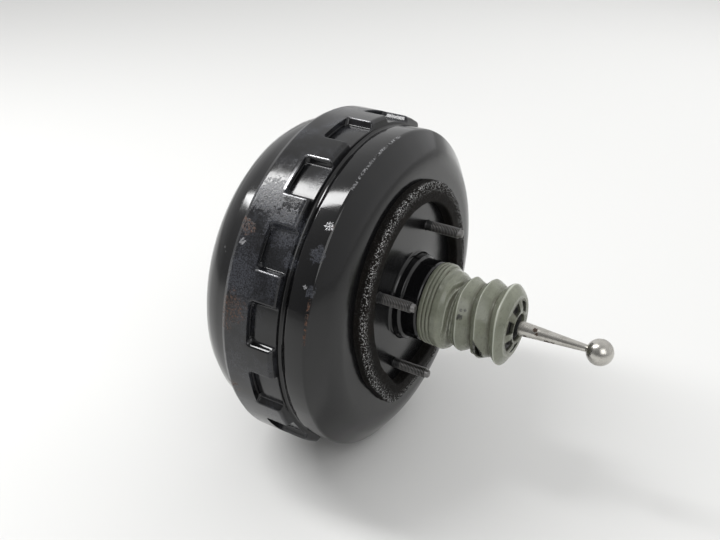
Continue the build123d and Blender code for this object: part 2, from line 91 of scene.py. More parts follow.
class BoosterSizes(bpy.types.PropertyGroup):
    """Sizes of the visible pieces."""

    band_radius: length("Band radius", "Radius over the band's raised lands", 132.6)
    window_depth: length("Window depth", "How far a locking window is sunk", 5.0)
    stud_radius: length("Stud radius", "Radius over the studs' threads", 4.0)
    thread_pitch: length("Thread pitch", "Distance from one turn of a thread to the next", 1.25)
    gasket_height: length("Gasket height", "Thickness of the foam gasket", 8.0)
    gasket_width: length("Gasket width", "Width of the foam gasket's ring", 16.0)
    rod_radius: length("Rod radius", "Radius of the push rod beside the boot", 5.6)
    ball_radius: length("Ball radius", "Radius of the push rod's ball", 9.7)
    boot_wall: length("Boot wall", "Thickness of the rubber boot", 1.7)


class BoosterFinishes(bpy.types.PropertyGroup):
    """Colours of the visible finishes."""

    paint: colour("Paint", "Gloss paint of both shells", 0.0045, 0.0045, 0.005)
    scuff: colour("Scuff", "Paint where it is scuffed", 0.046, 0.049, 0.06)
    bare_steel: colour("Bare steel", "Edges that are worn to the metal", 0.62, 0.62, 0.64)
    rust: colour("Rust", "Rust on the band's lip", 0.12, 0.052, 0.028)
    foam: colour("Foam", "Skin of the foam gasket", 0.004, 0.0034, 0.0028)
    boot: colour("Boot", "Grey-green rubber of the boot", 0.17, 0.18, 0.138)
    bright_steel: colour("Bright steel", "Plated push rod and ball", 0.56, 0.545, 0.51)
    dark_steel: colour("Dark steel", "Phosphated studs", 0.006, 0.0058, 0.0055)
    floor: colour("Floor", "Plain pale floor", 0.72, 0.72, 0.71)


class Value:
    """A socket's value that takes part in sums and products."""

    def __init__(self, finish, socket):
        self.finish = finish
        self.socket = socket

    def __add__(self, other):
        return self.finish.maths("ADD", self, other)

    def __sub__(self, other):
        return self.finish.maths("SUBTRACT", self, other)

    def __rsub__(self, other):
        return self.finish.maths("SUBTRACT", other, self)

    def __mul__(self, other):
        return self.finish.maths("MULTIPLY", self, other)

    def __truediv__(self, other):
        return self.finish.maths("DIVIDE", self, other)

    __radd__ = __add__
    __rmul__ = __mul__

    def over(self, low, high):
        """0 below low and 1 above high, with a soft step between."""
        return self.finish.node(
            "ShaderNodeMapRange",
            {"interpolation_type": "SMOOTHSTEP"},
            {"Value": self, "From Min": low, "From Max": high},
        )

    def under(self, low, high):
        """1 below low and 0 above high, with a soft step between."""
        return 1 - self.over(low, high)


class Finish:
    """A material, and the expressions that build its nodes."""

    def __init__(self, name):
        self.material = bpy.data.materials.new(name)
        self.material.use_nodes = True
        self.tree = self.material.node_tree
        self.tree.nodes.clear()
        self.place = self.node("ShaderNodeTexCoord", output="Object")
        parts = self.tree.nodes.new("ShaderNodeSeparateXYZ")
        self.tree.links.new(self.place.socket, parts.inputs[0])
        self.x, self.y, self.z = (Value(self, socket) for socket in parts.outputs)

    def node(self, kind, settings=None, values=None, output=0):
        """A new node with its settings made and its sockets filled; gives one of its outputs."""
        made = self.tree.nodes.new(kind)
        for key, setting in (settings or {}).items():
            setattr(made, key, setting)
        for key, value in (values or {}).items():
            if isinstance(value, Value):
                self.tree.links.new(value.socket, made.inputs[key])
            elif value is not None:
                made.inputs[key].default_value = value
        return Value(self, made.outputs[output])

    def maths(self, operation, *values):
        """A Math node on values and numbers."""
        return self.node("ShaderNodeMath", {"operation": operation}, dict(enumerate(values)))

    def noise(self, scale, detail=4.0, rough=0.6, at=None):
        """Soft noise from 0 to 1."""
        return self.node(
            "ShaderNodeTexNoise",
            values={"Vector": at or self.place, "Scale": scale, "Detail": detail, "Roughness": rough},
        )

    def cells(self, scale, feature="F1", at=None):
        """Distance inside a pattern of cells."""
        return self.node(
            "ShaderNodeTexVoronoi", {"feature": feature}, {"Vector": at or self.place, "Scale": scale}
        )

    def stretched(self, along, round_axis, outward):
        """Cylinder coordinates, each scaled on its own, so that a pattern can run round or along the axis."""
        turn = self.maths("ARCTAN2", self.z, self.y) * round_axis
        return self.node(
            "ShaderNodeCombineXYZ", values={0: self.x * along, 1: turn, 2: self.radius() * outward}
        )

    def radius(self):
        """Distance from the booster's axis."""
        return self.maths("SQRT", self.y * self.y + self.z * self.z)

    def near(self, spot, reach, ragged=0.5, scale=500.0):
        """A ragged patch round a point that is given in millimetres."""
        away = self.node(
            "ShaderNodeVectorMath",
            {"operation": "DISTANCE"},
            {0: self.place, 1: Vector(spot) * MM},
            output="Value",
        )
        edge = away / (reach * MM) + (self.noise(scale, 3.0) - 0.5) * (2 * ragged)
        return edge.under(0.75, 1.0)

    def patches(self, spots, **how):
        """All the patches round several points, each given with its reach."""
        whole = None
        for spot, reach in spots:
            patch = self.near(spot, reach, **how)
            whole = patch if whole is None else self.maths("MAXIMUM", whole, patch)
        return whole

    def carried(self, name):
        """A number that the mesh carries on its points."""
        return self.node("ShaderNodeAttribute", {"attribute_name": name}, output="Fac")

    def mixed(self, mask, low, high):
        """A colour between two others."""
        full = [value if isinstance(value, Value) else (*value, 1.0) for value in (low, high)]
        return self.node(
            "ShaderNodeMix", {"data_type": "RGBA"}, {0: mask, 6: full[0], 7: full[1]}, output=2
        )

    def bump(self, height, strength, distance, under=None):
        """A normal that follows a height."""
        return self.node(
            "ShaderNodeBump", values={"Height": height, "Strength": strength, "Distance": distance, "Normal": under}
        )

    def shade(self, **sockets):
        """The surface itself, and the material that carries it."""
        named = {key.replace("_", " ").title().replace("Ior", "IOR"): value for key, value in sockets.items()}
        if not isinstance(named["Base Color"], Value):
            named["Base Color"] = (*named["Base Color"], 1.0)
        shader = self.node("ShaderNodeBsdfPrincipled", values=named)
        end = self.tree.nodes.new("ShaderNodeOutputMaterial")
        self.tree.links.new(shader.socket, end.inputs["Surface"])
        return self.material


def settings():
    """The sizes and finishes that the sidebar shows."""
    return bpy.context.scene.booster_sizes, bpy.context.scene.booster_finishes


def made_once(name, make):
    """The material of that name, made by its function the first time."""
    return bpy.data.materials.get(name) or make(Finish(name))


def gloss_paint(finish):
    """Gloss black paint: orange peel, dust and scuffs on the band, chips on folds, rust on the lip, and bare-steel
    lines on window edges that are partly wear and partly painted highlight.
    """
    tints = settings()[1]
    radius = finish.radius()
    on_land = radius.over(0.1302, 0.1316) * finish.x.under(-0.038, -0.034)
    on_band = finish.maths("MAXIMUM", on_land, radius.over(0.1262, 0.1272) * 0.55)
    wide = finish.noise(38.0, 5.0, 0.65)
    grain = finish.noise(900.0, 3.0, 0.7)
    drag = finish.noise(1.0, 3.0, 0.7, finish.stretched(1500.0, 28.0, 300.0))
    scuffed = on_band * wide.over(0.36, 0.66) * grain.over(0.3, 0.7)
    dragged = drag.over(0.58, 0.72) * wide.over(0.42, 0.7) * 0.7 * (on_band * 0.8 + 0.2)
    marks = finish.patches(SCUFFS, ragged=0.8, scale=420.0) * grain.over(0.32, 0.6)
    corner = finish.maths("ABSOLUTE", finish.x + 0.0146).under(0.0003, 0.0013) * radius.over(0.1235, 0.1245)
    folds = corner * finish.noise(420.0, 4.0, 0.75).over(0.46, 0.56) * finish.patches(CORNER_WEAR, ragged=0.6)
    # Window-edge lines painted bare steel: partly wear, partly painted highlight along the rounded edges.
    worn_and_glint = finish.carried("worn_and_glint") * finish.noise(160.0, 3.0, 0.7).over(0.22, 0.42)
    chips = finish.patches(CHIPS, ragged=1.0, scale=480.0) * finish.noise(780.0, 2.0, 0.6).over(0.43, 0.55) * 0.8
    scratched = corner * finish.noise(560.0, 3.0, 0.7).over(0.47, 0.55) * finish.patches(CORNER_SCRATCHES)
    bare = finish.maths("MAXIMUM", finish.maths("MAXIMUM", worn_and_glint, chips), scratched * 0.4)
    pitted = finish.patches(RUST, ragged=1.0, scale=260.0)
    rusted = finish.maths("MAXIMUM", pitted * finish.noise(520.0, 5.0, 0.8).over(0.47, 0.62), folds)
    dusty = finish.maths("MAXIMUM", finish.maths("MAXIMUM", scuffed, dragged), marks)
    colour_now = finish.mixed(dusty * 0.85, tuple(tints.paint), tuple(tints.scuff))
    rust_tone = finish.mixed(finish.noise(700.0, 4.0, 0.8).over(0.36, 0.62), (0.018, 0.011, 0.009), tuple(tints.rust))
    colour_now = finish.mixed(rusted, colour_now, rust_tone)
    colour_now = finish.mixed(bare, colour_now, tuple(tints.bare_steel))
    haze = finish.noise(14.0, 4.0, 0.6).over(0.35, 0.75)
    pad = finish.x.over(-0.008, -0.002) * radius.over(0.036, 0.042)
    rough = finish.maths("MAXIMUM", 0.1 + haze * 0.07 + pad * 0.08 + dusty * 0.2, rusted * 0.8)
    peel = finish.noise(330.0, 2.0, 0.5) * 0.25 + finish.noise(60.0, 2.0, 0.5)
    surface = finish.bump(peel, 0.12, 0.0004)
    surface = finish.bump(dusty * 0.4 + rusted * grain + bare * 0.6, 0.4, 0.0003, surface)
    metal = bare * 0.85
    return finish.shade(base_color=colour_now, roughness=rough, metallic=metal, normal=surface, specular_ior_level=0.5)


def open_foam(finish):
    """Open-cell foam, dark, with pale cell rims painted bright only on the front face near its outer corner as painted
    light, and the side wall left dark as painted shade.
    """
    tints = settings()[1]
    rims = finish.cells(900.0).under(0.26, 0.5)
    pits = finish.cells(900.0).over(0.1, 0.75)
    # Share of painted light on the specks: full on the front face near the outer edge, none on the shaded side wall.
    cut = finish.carried("cut")
    speck = finish.noise(1300.0, 1.0, 0.5).over(0.4, 0.52)
    lit = rims * speck * (0.03 + cut * 0.97)
    skin = finish.mixed(finish.noise(45.0).over(0.4, 0.75) * 0.6, tuple(tints.foam), (0.011, 0.008, 0.006))
    tone = finish.mixed(lit, skin, (0.5, 0.5, 0.5))
    height = rims * 0.9 + pits * 0.5
    return finish.shade(
        base_color=tone, roughness=0.9 - speck * 0.1, normal=finish.bump(height, 0.4, 0.0005), specular_ior_level=0.15
    )


def boot_rubber(finish):
    """Grey-green rubber that lets a little light in: ridge crests painted pale as painted highlights, valleys darkened
    partly as dirt and partly as painted shade, and smudges.
    """
    tints = settings()[1]
    # Crest lines: painted highlights along the ridges and the waist's ripples.
    crest = finish.carried("crest")
    streak = finish.noise(1.0, 4.0, 0.7, finish.stretched(700.0, 9.0, 200.0))
    cloud = finish.noise(85.0, 5.0, 0.65)
    # Valleys: dirt and painted shade in the folds, grooves and the end's recess.
    dirt_and_shade = finish.carried("valley") * cloud.over(0.3, 0.62)
    smudge = finish.patches(SMUDGES, ragged=0.6, scale=380.0) * finish.noise(420.0).over(0.3, 0.55)
    edge = finish.carried("torn")
    tone = finish.mixed(cloud.over(0.3, 0.75), tuple(tints.boot), (0.215, 0.225, 0.175))
    tone = finish.mixed(streak.over(0.5, 0.72) * 0.45, tone, (0.10, 0.105, 0.075))
    tone = finish.mixed(dirt_and_shade * 0.72, tone, (0.05, 0.046, 0.028))
    tone = finish.mixed(crest * 0.8, tone, (0.50, 0.52, 0.45))
    tone = finish.mixed(finish.maths("MAXIMUM", smudge * 0.9, edge * 0.75), tone, (0.02, 0.02, 0.018))
    rough = 0.17 + cloud * 0.12 + dirt_and_shade * 0.3
    height = streak * 0.5 + finish.noise(1100.0, 3.0, 0.7) * 0.35
    return finish.shade(
        base_color=tone, roughness=rough, normal=finish.bump(height, 0.22, 0.0004),
        subsurface_weight=0.18, subsurface_radius=(0.004, 0.0042, 0.003), specular_ior_level=0.45,
    )


def bright_steel(finish):
    """Plated steel that was turned, with nicks and dull patches; painted shade darkens its underside beside the boot
    and turns it black where it goes into the boot's mouth.
    """
    tints = settings()[1]
    rings = finish.noise(1.0, 2.0, 0.6, finish.stretched(5200.0, 3.0, 80.0))
    cloud = finish.noise(120.0, 5.0, 0.7)
    nicks_and_shade = finish.patches(ROD_MARKS, ragged=0.9, scale=800.0)
    freckle = finish.noise(1300.0, 3.0, 0.7).over(0.66, 0.78) * cloud.over(0.4, 0.7)
    tone = finish.mixed(cloud.over(0.35, 0.75) * 0.5, tuple(tints.bright_steel), (0.25, 0.235, 0.205))
    tone = finish.mixed(finish.maths("MAXIMUM", nicks_and_shade, freckle * 0.7), tone, (0.05, 0.03, 0.02))
    # Black painted shade where the rod goes into the boot's mouth.
    mouth_shade = finish.x.under(0.0902, 0.0908)
    tone = finish.mixed(mouth_shade, tone, (0.01, 0.01, 0.01))
    rough = finish.maths("MAXIMUM", 0.2 + cloud * 0.14 + nicks_and_shade * 0.4, mouth_shade * 0.6)
    metal = (1 - nicks_and_shade * 0.8) * (1 - mouth_shade)
    return finish.shade(base_color=tone, metallic=metal, roughness=rough, normal=finish.bump(rings, 0.12, 0.0002))


def dark_steel(finish):
    """Phosphated steel, dark, with the thread's crests painted brighter, partly as rubbed wear and partly as painted
    highlight; black paint on the bulkhead studs' roots also serves as painted shade there.
    """
    tints = settings()[1]
    # Crests: partly rubbed wear, partly painted highlight.
    crest = finish.carried("crest") * (0.55 + finish.noise(320.0, 3.0, 0.6) * 0.6)
    speck = finish.noise(1500.0, 4.0, 0.8)
    tone = finish.mixed(speck, tuple(tints.dark_steel), (0.016, 0.015, 0.014))
    tone = finish.mixed(crest, tone, (0.30, 0.295, 0.29))
    tone = finish.mixed(finish.noise(260.0).over(0.62, 0.75) * 0.3, tone, (0.10, 0.05, 0.03))
    # Black paint on each bulkhead stud's root, which is also painted shade round the root.
    root_paint_and_shade = finish.x.over(-0.01, -0.009) * finish.x.under(0.0042, 0.0058)
    tone = finish.mixed(root_paint_and_shade, tone, (0.004, 0.004, 0.0045))
    metal = (0.75 + crest * 0.2) * (1 - root_paint_and_shade)
    return finish.shade(
        base_color=tone, metallic=metal, roughness=0.45 - crest * 0.12, normal=finish.bump(speck, 0.12, 0.0001)
    )


def plated_steel(finish):
    """Pressed steel with a thin passivated plating that clouds from place to place."""
    cloud = finish.noise(70.0, 5.0, 0.7)
    tint = finish.noise(24.0, 2.0, 0.5).over(0.35, 0.7)
    tone = finish.mixed(tint, (0.45, 0.43, 0.38), (0.50, 0.49, 0.47))
    rough = 0.28 + cloud * 0.22
    return finish.shade(base_color=tone, metallic=1.0, roughness=rough, normal=finish.bump(cloud, 0.15, 0.0004))


def oiled_wire(finish):
    """Spring wire with fine drawing lines."""
    lines = finish.noise(1.0, 2.0, 0.6, finish.stretched(2600.0, 30.0, 2600.0))
    tone = finish.mixed(lines, (0.20, 0.20, 0.21), (0.36, 0.36, 0.37))
    return finish.shade(base_color=tone, metallic=1.0, roughness=0.3 + lines * 0.15, normal=finish.bump(lines, 0.15, 0.0001))


def seal_rubber(finish):
    """Matt black rubber with a little bloom."""
    bloom = finish.noise(150.0, 5.0, 0.7).over(0.5, 0.8)
    tone = finish.mixed(bloom * 0.5, (0.012, 0.012, 0.013), (0.05, 0.05, 0.052))
    return finish.shade(
        base_color=tone, roughness=0.55 + bloom * 0.25, normal=finish.bump(finish.noise(1400.0, 3.0), 0.25, 0.0002)
    )


def moulded_plastic(finish):
    """Black moulded plastic with a fine spark texture."""
    spark = finish.noise(1800.0, 3.0, 0.7)
    cloud = finish.noise(60.0, 4.0, 0.6)
    tone = finish.mixed(cloud, (0.010, 0.010, 0.011), (0.022, 0.022, 0.024))
    return finish.shade(base_color=tone, roughness=0.38 + cloud * 0.14, normal=finish.bump(spark, 0.2, 0.0001))


def pressed_felt(finish):
    """Dark felt and filter foam with matted fibres."""
    fibre = finish.noise(2200.0, 4.0, 0.8)
    tone = finish.mixed(fibre, (0.012, 0.012, 0.012), (0.075, 0.07, 0.065))
    return finish.shade(base_color=tone, roughness=0.95, normal=finish.bump(fibre, 0.8, 0.0006))


SCUFFS = [
    ((-17.6, -102.1, 78.1), 7.0),
    ((-35.0, -107.4, 69.6), 6.5),
    ((-15.0, -115.0, 56.0), 5.0),
    ((-70.0, -120.0, 55.0), 16.0),
    ((-46.0, -98.0, 88.0), 16.0),
    ((-66.0, -84.0, 101.0), 15.0),
]
CORNER_WEAR = [((-17.2, -87.2, 91.0), 5.5), ((-14.6, -118.3, 43.0), 8.0), ((-14.6, -123.0, 28.0), 11.0)]
CORNER_SCRATCHES = [
    ((-15.2, -54.8, 112.6), 9.0),
    ((-14.4, -40.1, 118.6), 8.0),
    ((-14.1, -24.2, 122.8), 9.0),
    ((-13.4, -4.0, 125.0), 9.0),
]
CHIPS = [
    ((-17.0, -86.6, 91.5), 3.4),
    ((-94.3, -105.9, 64.5), 2.4),
    ((-92.0, -107.6, 62.0), 2.0),
    ((-96.1, -123.4, 12.2), 2.2),
    ((-20.0, -112.0, 57.0), 1.8),
    ((-73.0, -109.0, 75.4), 2.6),
]
RUST = [
    ((-71.5, -103.2, 82.8), 6.5),
    ((-76.0, -100.5, 84.5), 5.5),
    ((-70.5, -127.2, 33.0), 13.0),
    ((-76.0, -129.0, 22.0), 8.0),
    ((-75.2, -126.4, -34.2), 8.0),
]
SMUDGES = [((52.4, -24.2, 9.6), 2.8), ((55.6, -21.8, 15.6), 2.2), ((52.6, -22.4, 15.0), 1.4)]
ROD_MARKS = [
    ((102.8, -3.4, 4.3), 2.2),
    ((104.8, -5.0, 2.0), 1.6),
    ((112.8, -4.0, -3.4), 2.8),
    ((116.5, -4.3, -2.4), 1.8),
    # These two darken the rod's underside beside the boot: painted shade.
    ((96.0, -2.0, -5.0), 4.4),
    ((92.5, 0.0, -5.6), 4.4),
]


def outline(corners, bends=(), closed=False):
    """A bmesh with one line through corners given in millimetres along the axis and out from it, each bent."""
    bm = bmesh.new()
    points = [bm.verts.new((x * MM, radius * MM, 0)) for x, radius in corners]
    for start, end in zip(points, points[1:]):
        bm.edges.new((start, end))
    if closed:
        bm.edges.new((points[-1], points[0]))
    for point, bend in zip(points if closed else points[1:], bends):
        if bend:
            round_corner(bm, point, bend)
    return bm


def round_corner(bm, point, bend, segments=5):
    """Rounds a corner of a line to a radius in millimetres."""
    sides = [edge.other_vert(point).co - point.co for edge in point.link_edges]
    reach = bend * MM / math.tan(sides[0].angle(sides[1]) / 2)
    bmesh.ops.bevel(
        bm, geom=[point], offset=reach, offset_type="OFFSET", segments=segments, profile=0.5,
        affect="VERTICES", material=-1,
    )


def cut_up(bm, longest):
    """Divides edges of a line until none is much longer than a length in millimetres."""
    for edge in bm.edges[:]:
        cuts = round(edge.calc_length() / (longest * MM)) - 1
        if cuts > 0:
            bmesh.ops.subdivide_edges(bm, edges=[edge], cuts=cuts)


def turn(bm, steps):
    """Spins a line once round the axis and closes its seam and poles."""
    bmesh.ops.spin(
        bm, geom=bm.verts[:] + bm.edges[:], cent=(0, 0, 0), axis=(1, 0, 0), dvec=(0, 0, 0),
        angle=math.tau, steps=steps, use_merge=True, use_normal_flip=False, use_duplicate=False,
    )
    bmesh.ops.remove_doubles(bm, verts=bm.verts, dist=1e-7)
    bmesh.ops.recalc_face_normals(bm, faces=bm.faces)
    return bm


def face_out(bm):
    """Turns an open sheet's faces outward, judged by its widest face."""
    widest = max(bm.faces, key=lambda face: Vector(face.calc_center_median().yz).length)
    centre = widest.calc_center_median()
    if widest.normal.dot(Vector((0, centre.y, centre.z))) < 0:
        bmesh.ops.reverse_faces(bm, faces=bm.faces)


def place_at(bm, angle, radius):
    """Moves a piece out from the axis in millimetres, then turns it to an angle from +Y towards +Z."""
    bmesh.ops.translate(bm, verts=bm.verts, vec=(0, radius * MM, 0))
    bmesh.ops.rotate(bm, verts=bm.verts, cent=(0, 0, 0), matrix=Matrix.Rotation(math.radians(angle), 3, "X"))


def angle_of(point):
    """A point's angle from +Y towards +Z, in degrees from 0 to 360."""
    return math.degrees(math.atan2(point.z, point.y)) % 360


def set_polar(point, radius, angle):
    """Gives a point a new distance from the axis, in metres, and a new angle."""
    point.y = radius * math.cos(math.radians(angle))
    point.z = radius * math.sin(math.radians(angle))


def soft_step(value):
    """0 below 0, 1 above 1, and a smooth S between."""
    value = min(max(value, 0.0), 1.0)
    return value * value * (3 - 2 * value)


def piece(name, bm, material, body, nodes=(), crease=32.0, wall=0.0, cutter=None):
    mesh = bpy.data.meshes.new(name)
    bm.to_mesh(mesh)
    bm.free()
    mesh.materials.append(material)
    made = bpy.data.objects.new(name, mesh)
    bpy.context.scene.collection.objects.link(made)
    if wall:
        thick = made.modifiers.new("Wall", "SOLIDIFY")
        thick.thickness = wall * MM
        thick.offset = -1.0
        if cutter:
            hole = made.modifiers.new("Hole", "BOOLEAN")
            hole.operation, hole.solver, hole.object = "DIFFERENCE", "EXACT", cutter
        bpy.context.view_layer.update()
        settled = bpy.data.meshes.new_from_object(made.evaluated_get(bpy.context.evaluated_depsgraph_get()))
        made.modifiers.clear()
        made.data = settled
        bpy.data.meshes.remove(mesh)
        settled.name = name
    made.data.shade_smooth()
    made.data.set_sharp_from_angle(angle=math.radians(crease))
    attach(made, body)
    if nodes:
        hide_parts(*nodes)
    return made


class BOOSTER_OT_rear_shell(bpy.types.Operator):
    """Press the rear shell: neck, pad, shoulder and the band with its locking windows"""

    bl_idname = "booster.rear_shell"
    bl_label = "Rear shell"

    # Bare-steel lines on chosen window edges: partly wear, partly painted highlight on the rounded edges.
    edge_wear_and_glint = {(0, 0): 0.6, (1, 0): 0.95, (1, 1): 0.9, (2, 1): 0.5}
    slit_wear_and_glint = {1: 0.85}
    wall = 3.0
    corner = 3.0

    def bay_angle(self, step):
        """Angle inside a bay of a step of its twenty-four: close together in the window's two side walls."""
        knots = [(0, 0.0), (8, 2.6), (12, WINDOW_ANGLE - 2.6), (20, WINDOW_ANGLE), (21, 15.35), (23, 23.65), (24, 24.0)]
        for (low, start), (high, end) in zip(knots, knots[1:]):
            if step <= high:
                return start + (end - start) * (step - low) / (high - low)
        return knots[-1][1]

    def sunk_share(self, inside, radius, past_slit):
        """How far a place in a bay is sunk, from 0 to 1: its side walls bend in at the slit's two corners."""
        from_side = math.radians(min(inside, WINDOW_ANGLE - inside)) * radius
        short = max(self.corner - max(past_slit, 0.0), 0.0)
        side = self.corner - math.sqrt(self.corner**2 - short**2)
        return soft_step((from_side - side) / self.wall)

    def execute(self, context):
        sizes = settings()[0]
        band, floor = sizes.band_radius / MM, (sizes.band_radius - sizes.window_depth) / MM
        slit = -57.2
        line = [
            (28.6, 29.2), (21.6, 29.2), (19.6, 31.2), (8.0, 31.2), (6.8, 33.4), (0, 33.4), (0, 106.0),
            (-14.0, 126.0), (-30.3, 126.0), (-32.0, 124.3), (-35.2, 124.3), (-37.2, band), (slit, band),
            (-76.2, band), (-79.2, band - 1.5),
        ]
        bends = [1.2, 1.6, 0.6, 0.9, 3.0, 30.0, 3.2, 2.4, 2.4, 2.0, 3.0, 0, 2.2]
        bm = outline(line, bends)
        for edge in bm.edges[:]:
            middle = (edge.verts[0].co.x + edge.verts[1].co.x) / 2 / MM
            cuts = round(edge.calc_length() / (0.8 * MM if middle > slit else 2.4 * MM)) - 1
            if middle < -34 and cuts > 0:
                bmesh.ops.subdivide_edges(bm, edges=[edge], cuts=cuts)
        bay_steps = 24
        turn(bm, WINDOW_COUNT * bay_steps)
        face_out(bm)
        pitch = 360.0 / WINDOW_COUNT
        # Mask for those bare-steel edge lines: wear and painted highlight.
        worn_and_glint = bm.verts.layers.float.new("worn_and_glint")
        sunk = {}
        for vert in bm.verts:
            radius = vert.co.yz.length
            bay, inside = divmod((angle_of(vert.co) - WINDOW_START) % 360, pitch)
            step = round(inside / pitch * bay_steps)
            if step == bay_steps:
                bay, step = (bay + 1) % WINDOW_COUNT, 0
            inside = self.bay_angle(step)
            set_polar(vert.co, radius, WINDOW_START + bay * pitch + inside)
            share = self.sunk_share(inside, radius / MM, vert.co.x / MM - slit) if inside < WINDOW_ANGLE else 0.0
            sunk[vert] = (int(bay), int(inside > WINDOW_ANGLE / 2), share, step, inside)
        on_slit = [
            edge for edge in bm.edges
            if all(abs(vert.co.x / MM - slit) < 0.01 for vert in edge.verts)
            and any(sunk[vert][2] > 0 for vert in edge.verts)
        ]
        places = {tuple(round(c, 6) for c in vert.co): facts for vert, facts in sunk.items()}
        bmesh.ops.split_edges(bm, edges=on_slit)
        for vert in bm.verts:
            bay, side, depth, step, inside = places[tuple(round(c, 6) for c in vert.co)]
            on_floor_side = all(face.calc_center_median().x / MM > slit for face in vert.link_faces)
            if abs(vert.co.x / MM - slit) < 0.01 and depth > 0 and not on_floor_side:
                vert[worn_and_glint] = self.slit_wear_and_glint.get(bay, 0.0) * soft_step((inside - 4) / 4)
            if -0.0568 < vert.co.x < -0.0385 and step in (0, 20):
                vert[worn_and_glint] = self.edge_wear_and_glint.get((bay, side), 0.0)
            if on_floor_side and vert.co.x < -0.0352 and depth > 0:
                radius = vert.co.yz.length
                lowered = min(radius, floor * MM)
                set_polar(vert.co, radius + (lowered - radius) * depth, angle_of(vert.co))
        piece(
            "rear_shell_pressing", bm, made_once("gloss_black_paint", gloss_paint), "housing",
            ["rear_shell"], crease=50.0, wall=SHELL_WALL,
        )
        return {"FINISHED"}


class BOOSTER_OT_front_shell(bpy.types.Operator):
    """Draw the front shell: rim, deep bowl, boss and pilot hole"""

    bl_idname = "booster.front_shell"
    bl_label = "Front shell"

    def execute(self, context):
        line = [
            (-57.3, 130.9), (-72.3, 130.9), (-75.3, 124.9), (-118.0, 117.9), (-118.0, 58.0),
            (-124.0, 52.0), (-124.0, 21.5), (-112.0, 21.5),
        ]
        bm = outline(line, [2.5, 2.5, 32.0, 2.5, 2.5, 2.5])
        turn(bm, 240)
        face_out(bm)
        cutter = self.hole_cutter()
        piece(
            "front_shell_drawing", bm, made_once("gloss_black_paint", gloss_paint), "housing",
            ["front_shell"], crease=50.0, wall=RIM_WALL, cutter=cutter,
        )
        bpy.data.meshes.remove(cutter.data)
        return {"FINISHED"}

    def hole_cutter(self):
        """A bar along X where the check valve's grommet goes through the shell."""
        bm = bmesh.new()
        bmesh.ops.create_cone(
            bm, cap_ends=True, segments=48, radius1=GROMMET_RADIUS * MM, radius2=GROMMET_RADIUS * MM, depth=0.02,
            matrix=Matrix.Translation((-0.118, 0, 0)) @ Matrix.Rotation(math.pi / 2, 4, "Y"),
        )
        place_at(bm, VALVE_ANGLE, VALVE_CIRCLE)
        mesh = bpy.data.meshes.new("hole_cutter")
        bm.to_mesh(mesh)
        bm.free()
        made = bpy.data.objects.new("hole_cutter", mesh)
        bpy.context.scene.collection.objects.link(made)
        return made


def threaded_stud(base, tip, grip, head_height=3.0):
    """A stud along +X with a flat head at base, a pressed shoulder and a real helical thread up to its point."""
    sizes = settings()[0]
    crest = sizes.stud_radius / MM
    pitch = sizes.thread_pitch / MM
    depth = 0.54 * pitch
    start, point = base + head_height + grip, tip - 3.2
    corners = [
        (base, 0), (base, 7.5), (base + head_height, 7.5), (base + head_height, crest + 0.5), (start, crest + 0.5),
        (start + 0.5, crest), (point, crest), (point + 0.9, crest - 0.9), (tip - 0.7, crest - 0.9),
        (tip, crest - 1.6), (tip, 0),
    ]
    bm = outline(corners, [0, 0.6])
    for edge in bm.edges[:]:
        low, high = sorted(vert.co.x / MM for vert in edge.verts)
        if low > start and high < point + 0.01 and high - low > pitch:
            bmesh.ops.subdivide_edges(bm, edges=[edge], cuts=round((high - low) / pitch * 8) - 1)
    turn(bm, 32)
    # Crest mask: bright on the thread's tops as rubbed wear and painted highlight, and bright on the point.
    bright = bm.verts.layers.float.new("crest")
    for vert in bm.verts:
        radius = vert.co.yz.length
        along = vert.co.x / MM
        if start + 0.4 < along < point + 0.05 and radius > 0.8 * crest * MM:
            phase = (along / pitch - angle_of(vert.co) / 360) % 1
            tooth = min(1.0, abs(phase - 0.5) * 2.6)
            fade = soft_step((along - start - 0.4) / 1.2) * soft_step((point - along) / 0.8)
            set_polar(vert.co, radius - (1 - tooth) * depth * fade * MM, angle_of(vert.co))
            vert[bright] = tooth**4
        elif along >= point:
            vert[bright] = 0.7
    return bm


class BOOSTER_OT_studs(bpy.types.Operator):
    """Cut and set the four bulkhead studs and the two studs for the master cylinder"""

    bl_idname = "booster.studs"
    bl_label = "Studs"

    def execute(self, context):
        steel = made_once("phosphated_steel", dark_steel)
        for number, letter in enumerate("abcd"):
            bm = threaded_stud(-7.6, 30.0, 4.6)
            place_at(bm, FIRST_STUD + 90 * number, STUD_CIRCLE)
            nodes = ["bulkhead_studs"] if letter == "a" else []
            piece(f"bulkhead_stud_{letter}", bm, steel, "housing", nodes, crease=75.0)
        for number, letter in enumerate("ab"):
            bm = threaded_stud(0.0, 32.8, 4.8)
            bmesh.ops.rotate(bm, verts=bm.verts, cent=(0, 0, 0), matrix=Matrix.Rotation(math.pi, 3, "Y"))
            bmesh.ops.translate(bm, verts=bm.verts, vec=(-0.1162, 0, 0))
            place_at(bm, FIRST_STUD + 180 * number, 40.0)
            nodes = ["front_studs"] if letter == "a" else []
            piece(f"cylinder_stud_{letter}", bm, steel, "housing", nodes, crease=75.0)
        return {"FINISHED"}


